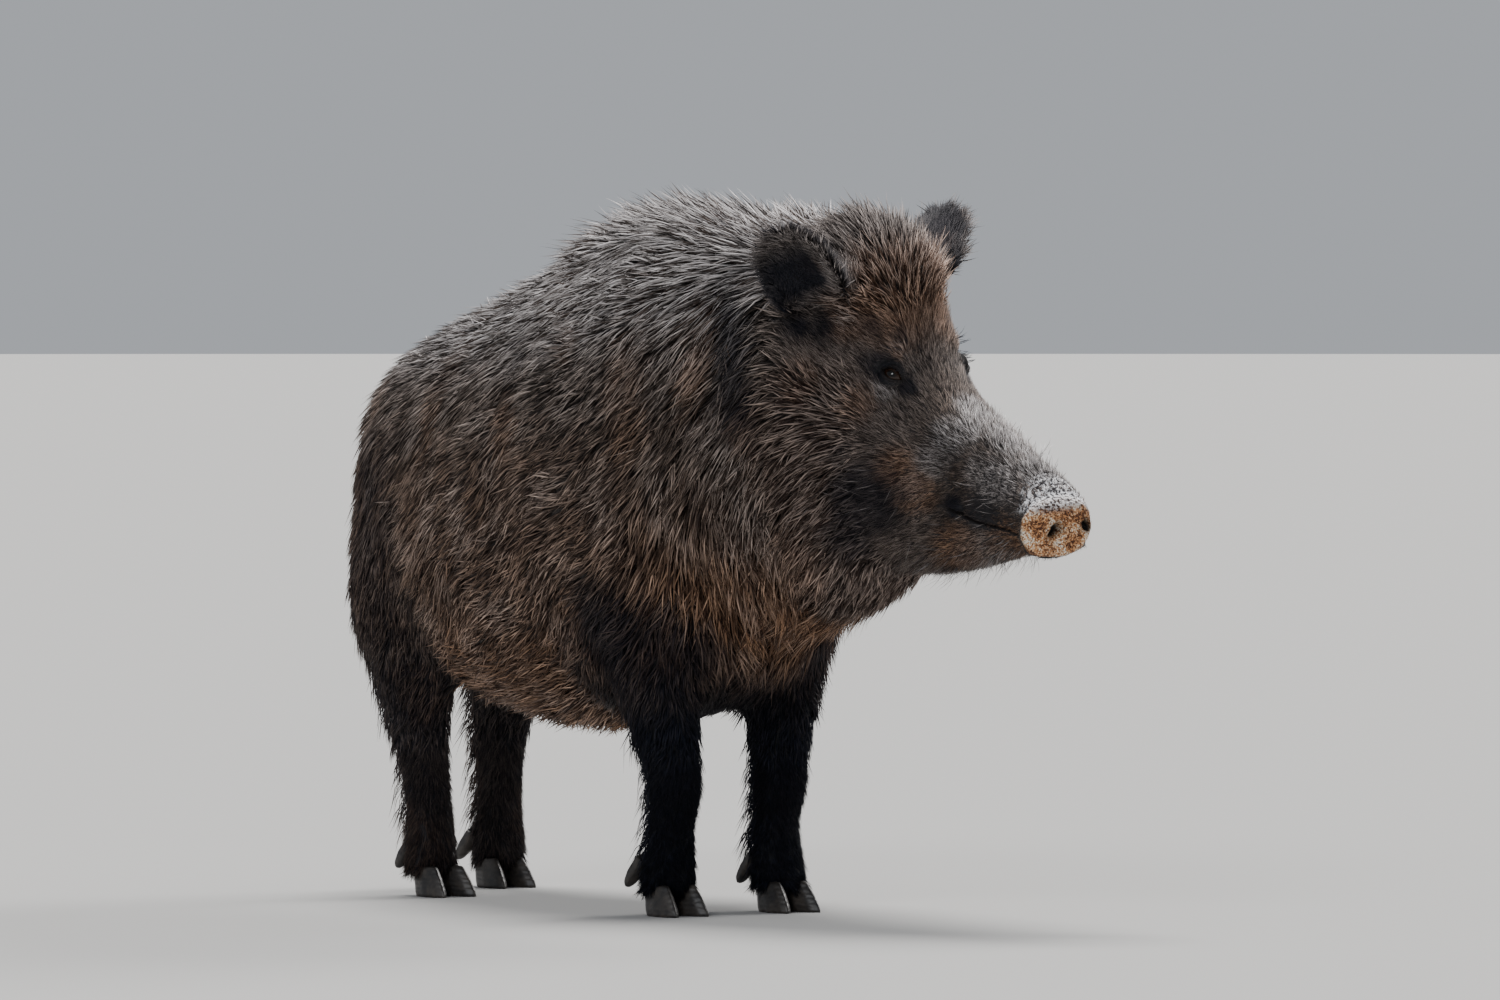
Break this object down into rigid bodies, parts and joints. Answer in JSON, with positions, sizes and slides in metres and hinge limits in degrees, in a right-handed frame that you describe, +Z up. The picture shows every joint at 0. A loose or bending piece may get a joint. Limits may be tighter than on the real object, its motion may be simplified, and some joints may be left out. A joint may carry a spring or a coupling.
{
  "type": "wild boar",
  "caption": "Life-size model of an adult male wild boar standing square, thick winter coat, head lowered a little and turned to its left, for display on a floor.",
  "frame": {"origin": "on the floor under the middle of the bounding box", "axes": "+X forward along the trunk, +Y to the animal's left, +Z up"},
  "size_m": [1.2942, 0.411, 0.8416],
  "materials": {
    "brown_coat": "dense grizzled brown-black winter bristle coat",
    "black_coat": "near-black short coat",
    "face_coat": "short grey-brown coat over bare dark skin",
    "snout_skin": "bare skin under a crust of dry soil",
    "eye_gloss": "dark wet eye",
    "hoof_horn": "worn dark horn"
  },
  "bodies": {
    "root": {"hoof_fore_right_inner": "hoof_horn", "dewclaw_fore_right_inner": "hoof_horn", "hoof_fore_right_outer": "hoof_horn", "dewclaw_fore_right_outer": "hoof_horn", "fore_leg_right": "black_coat", "hoof_fore_left_inner": "hoof_horn", "dewclaw_fore_left_inner": "hoof_horn", "hoof_fore_left_outer": "hoof_horn", "dewclaw_fore_left_outer": "hoof_horn", "fore_leg_left": "black_coat", "hoof_hind_right_inner": "hoof_horn", "dewclaw_hind_right_inner": "hoof_horn", "hoof_hind_right_outer": "hoof_horn", "dewclaw_hind_right_outer": "hoof_horn", "hind_leg_right": "black_coat", "hoof_hind_left_inner": "hoof_horn", "dewclaw_hind_left_inner": "hoof_horn", "hoof_hind_left_outer": "hoof_horn", "dewclaw_hind_left_outer": "hoof_horn", "hind_leg_left": "black_coat", "ear_right": "black_coat", "eye_right": "eye_gloss", "ear_left": "black_coat", "eye_left": "eye_gloss", "trunk": "brown_coat", "neck": "brown_coat", "head": "face_coat", "lower_jaw": "face_coat", "snout_disc": "snout_skin", "tail": "black_coat"}
  },
  "joints": []
}
